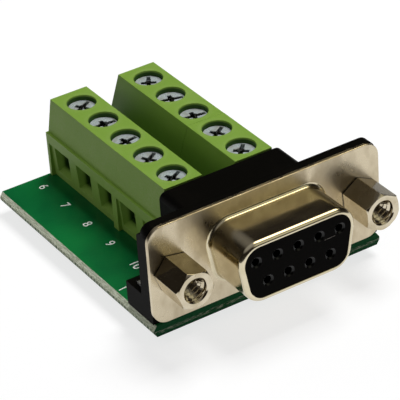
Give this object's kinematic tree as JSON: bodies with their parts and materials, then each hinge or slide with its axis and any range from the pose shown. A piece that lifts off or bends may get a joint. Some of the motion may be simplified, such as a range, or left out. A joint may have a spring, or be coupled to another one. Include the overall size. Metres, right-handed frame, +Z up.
{
  "type": "d-sub terminal block adapter",
  "caption": "D-sub socket with jackscrews on a small circuit board, wired out to two rows of rising-clamp screw terminals with side wire entries.",
  "frame": {"origin": "middle of the footprint, on the plane on which the trimmed leads stand", "axes": "+X to the right along the flange seen from the mating side, +Y from the connector to the back of the board, +Z up from the board"},
  "size_m": [0.0308, 0.042, 0.0155],
  "materials": {
    "board": "green solder mask over glass laminate",
    "nickel": "warm bright nickel plate",
    "black_plastic": "black moulded, fine texture",
    "green_plastic": "moss green moulded, satin",
    "screw_steel": "zinc plated",
    "contact_metal": "gold flashed copper alloy",
    "tinned": "tinned sheet",
    "solder": "bright solder"
  },
  "bodies": {
    "adapter": {"circuit_board": "board", "front_shell": "nickel", "contact_insulator": "black_plastic", "connector_bracket": "black_plastic", "jackscrew_left": "nickel", "jackscrew_right": "nickel", "boardlock_left": "tinned", "boardlock_right": "tinned", "solder_joints": "solder", "left_housing_rear": "green_plastic", "left_housing_front": "green_plastic", "right_housing_rear": "green_plastic", "right_housing_front": "green_plastic", "contact_1": "contact_metal", "contact_2": "contact_metal", "contact_3": "contact_metal", "contact_4": "contact_metal", "contact_5": "contact_metal", "contact_6": "contact_metal", "contact_7": "contact_metal", "contact_8": "contact_metal", "contact_9": "contact_metal", "solder_pin_1": "tinned", "solder_pin_2": "tinned", "solder_pin_3": "tinned", "solder_pin_4": "tinned", "solder_pin_5": "tinned", "solder_pin_6": "tinned", "solder_pin_7": "tinned", "solder_pin_8": "tinned", "solder_pin_9": "tinned", "solder_pin_10": "tinned"},
    "screw_1": {"terminal_screw_1": "screw_steel"},
    "clamp_1": {"clamp_cage_1": "tinned"},
    "screw_2": {"terminal_screw_2": "screw_steel"},
    "clamp_2": {"clamp_cage_2": "tinned"},
    "screw_3": {"terminal_screw_3": "screw_steel"},
    "clamp_3": {"clamp_cage_3": "tinned"},
    "screw_4": {"terminal_screw_4": "screw_steel"},
    "clamp_4": {"clamp_cage_4": "tinned"},
    "screw_5": {"terminal_screw_5": "screw_steel"},
    "clamp_5": {"clamp_cage_5": "tinned"},
    "screw_6": {"terminal_screw_6": "screw_steel"},
    "clamp_6": {"clamp_cage_6": "tinned"},
    "screw_7": {"terminal_screw_7": "screw_steel"},
    "clamp_7": {"clamp_cage_7": "tinned"},
    "screw_8": {"terminal_screw_8": "screw_steel"},
    "clamp_8": {"clamp_cage_8": "tinned"},
    "screw_9": {"terminal_screw_9": "screw_steel"},
    "clamp_9": {"clamp_cage_9": "tinned"},
    "screw_10": {"terminal_screw_10": "screw_steel"},
    "clamp_10": {"clamp_cage_10": "tinned"}
  },
  "joints": [
    {"name": "screw_1_turn", "type": "hinge", "parent": "adapter", "child": "screw_1", "pos_m": [0.0047, 0.01771, 0.0116], "axis": [0, 0, -1], "range_deg": [0, 1512.5]},
    {"name": "clamp_1_rise", "type": "slide", "parent": "adapter", "child": "clamp_1", "axis": [0, 0, 1], "range_m": [0, 0.00189]},
    {"name": "screw_2_turn", "type": "hinge", "parent": "adapter", "child": "screw_2", "pos_m": [0.0047, 0.01263, 0.0116], "axis": [0, 0, -1], "range_deg": [0, 1512.5]},
    {"name": "clamp_2_rise", "type": "slide", "parent": "adapter", "child": "clamp_2", "axis": [0, 0, 1], "range_m": [0, 0.00189]},
    {"name": "screw_3_turn", "type": "hinge", "parent": "adapter", "child": "screw_3", "pos_m": [0.0047, 0.00755, 0.0116], "axis": [0, 0, -1], "range_deg": [0, 1512.5]},
    {"name": "clamp_3_rise", "type": "slide", "parent": "adapter", "child": "clamp_3", "axis": [0, 0, 1], "range_m": [0, 0.00189]},
    {"name": "screw_4_turn", "type": "hinge", "parent": "adapter", "child": "screw_4", "pos_m": [0.0047, 0.00247, 0.0116], "axis": [0, 0, -1], "range_deg": [0, 1512.5]},
    {"name": "clamp_4_rise", "type": "slide", "parent": "adapter", "child": "clamp_4", "axis": [0, 0, 1], "range_m": [0, 0.00189]},
    {"name": "screw_5_turn", "type": "hinge", "parent": "adapter", "child": "screw_5", "pos_m": [0.0047, -0.00261, 0.0116], "axis": [0, 0, -1], "range_deg": [0, 1512.5]},
    {"name": "clamp_5_rise", "type": "slide", "parent": "adapter", "child": "clamp_5", "axis": [0, 0, 1], "range_m": [0, 0.00189]},
    {"name": "screw_6_turn", "type": "hinge", "parent": "adapter", "child": "screw_6", "pos_m": [-0.0047, 0.01771, 0.0116], "axis": [0, 0, -1], "range_deg": [0, 1512.5]},
    {"name": "clamp_6_rise", "type": "slide", "parent": "adapter", "child": "clamp_6", "axis": [0, 0, 1], "range_m": [0, 0.00189]},
    {"name": "screw_7_turn", "type": "hinge", "parent": "adapter", "child": "screw_7", "pos_m": [-0.0047, 0.01263, 0.0116], "axis": [0, 0, -1], "range_deg": [0, 1512.5]},
    {"name": "clamp_7_rise", "type": "slide", "parent": "adapter", "child": "clamp_7", "axis": [0, 0, 1], "range_m": [0, 0.00189]},
    {"name": "screw_8_turn", "type": "hinge", "parent": "adapter", "child": "screw_8", "pos_m": [-0.0047, 0.00755, 0.0116], "axis": [0, 0, -1], "range_deg": [0, 1512.5]},
    {"name": "clamp_8_rise", "type": "slide", "parent": "adapter", "child": "clamp_8", "axis": [0, 0, 1], "range_m": [0, 0.00189]},
    {"name": "screw_9_turn", "type": "hinge", "parent": "adapter", "child": "screw_9", "pos_m": [-0.0047, 0.00247, 0.0116], "axis": [0, 0, -1], "range_deg": [0, 1512.5]},
    {"name": "clamp_9_rise", "type": "slide", "parent": "adapter", "child": "clamp_9", "axis": [0, 0, 1], "range_m": [0, 0.00189]},
    {"name": "screw_10_turn", "type": "hinge", "parent": "adapter", "child": "screw_10", "pos_m": [-0.0047, -0.00261, 0.0116], "axis": [0, 0, -1], "range_deg": [0, 1512.5]},
    {"name": "clamp_10_rise", "type": "slide", "parent": "adapter", "child": "clamp_10", "axis": [0, 0, 1], "range_m": [0, 0.00189]}
  ],
  "couplings": [
    {"joint": "screw_1_turn", "follows": "clamp_1_rise", "rad_per_m": 13963},
    {"joint": "screw_2_turn", "follows": "clamp_2_rise", "rad_per_m": 13963},
    {"joint": "screw_3_turn", "follows": "clamp_3_rise", "rad_per_m": 13963},
    {"joint": "screw_4_turn", "follows": "clamp_4_rise", "rad_per_m": 13963},
    {"joint": "screw_5_turn", "follows": "clamp_5_rise", "rad_per_m": 13963},
    {"joint": "screw_6_turn", "follows": "clamp_6_rise", "rad_per_m": 13963},
    {"joint": "screw_7_turn", "follows": "clamp_7_rise", "rad_per_m": 13963},
    {"joint": "screw_8_turn", "follows": "clamp_8_rise", "rad_per_m": 13963},
    {"joint": "screw_9_turn", "follows": "clamp_9_rise", "rad_per_m": 13963},
    {"joint": "screw_10_turn", "follows": "clamp_10_rise", "rad_per_m": 13963}
  ]
}
